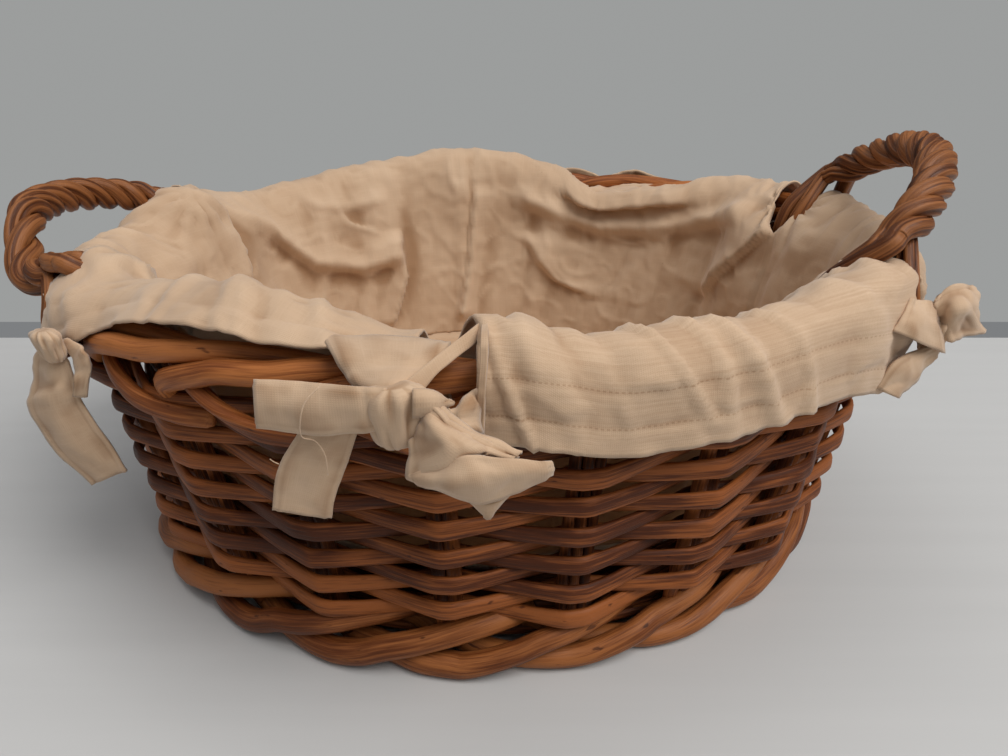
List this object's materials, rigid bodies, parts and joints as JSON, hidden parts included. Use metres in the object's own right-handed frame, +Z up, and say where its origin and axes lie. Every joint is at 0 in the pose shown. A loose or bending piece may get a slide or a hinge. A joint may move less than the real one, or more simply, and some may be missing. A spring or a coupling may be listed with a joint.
{
  "type": "lined wicker basket",
  "caption": "Oval willow basket with twisted rope handles at its ends and a beige cotton lining that folds over the rim and is tied with bows.",
  "frame": {"origin": "on the ground, at the middle of the bounding box of the basket with its handles and bows", "axes": "+Z up, +X from the left handle to the right handle, -Y to the front with the large bow"},
  "size_m": [0.471, 0.403, 0.2203],
  "materials": {
    "willow_weave": "satin brown stained willow, flattened weavers and round stakes",
    "willow_rods": "satin brown stained round willow rods, slightly glossier than the weave",
    "cotton": "soft unbleached beige plain weave cotton"
  },
  "bodies": {
    "root": {"rim_border_rod_1": "willow_rods", "rim_border_rod_2": "willow_rods", "foot_border_rod_1": "willow_rods", "foot_border_rod_2": "willow_rods", "stake_pair_01": "willow_weave", "stake_pair_02": "willow_weave", "stake_pair_03": "willow_weave", "stake_pair_04": "willow_weave", "stake_pair_05": "willow_weave", "stake_pair_06": "willow_weave", "stake_pair_07": "willow_weave", "stake_pair_08": "willow_weave", "stake_pair_09": "willow_weave", "stake_pair_10": "willow_weave", "stake_pair_11": "willow_weave", "stake_pair_12": "willow_weave", "stake_pair_13": "willow_weave", "stake_pair_14": "willow_weave", "stake_pair_15": "willow_weave", "stake_pair_16": "willow_weave", "stake_pair_17": "willow_weave", "stake_pair_18": "willow_weave", "stake_pair_19": "willow_weave", "stake_pair_20": "willow_weave", "weaver_row_01": "willow_weave", "weaver_row_02": "willow_weave", "weaver_row_03": "willow_weave", "weaver_row_04": "willow_weave", "weaver_row_05": "willow_weave", "weaver_row_06": "willow_weave", "weaver_row_07": "willow_weave", "weaver_row_08": "willow_weave", "weaver_row_09": "willow_weave", "weaver_row_10": "willow_weave", "weaver_row_11": "willow_weave", "weaver_row_12": "willow_weave", "weaver_row_13": "willow_weave", "weaver_row_14": "willow_weave", "base_long_stick": "willow_rods", "base_cross_stick_left": "willow_rods", "base_cross_stick_right": "willow_rods", "base_mat": "willow_weave", "left_handle_strand_1": "willow_rods", "left_handle_strand_2": "willow_rods", "left_handle_strand_3": "willow_rods", "right_handle_strand_1": "willow_rods", "right_handle_strand_2": "willow_rods", "right_handle_strand_3": "willow_rods", "lining_side_panel": "cotton", "lining_bottom_panel": "cotton", "lining_flap_front_right": "cotton", "lining_flap_right_end": "cotton", "lining_flap_back_right": "cotton", "lining_flap_back_left": "cotton", "lining_flap_left_end": "cotton", "lining_flap_front_left": "cotton", "bow_front": "cotton", "bow_back": "cotton", "bow_right": "cotton", "bow_left": "cotton"}
  },
  "joints": []
}
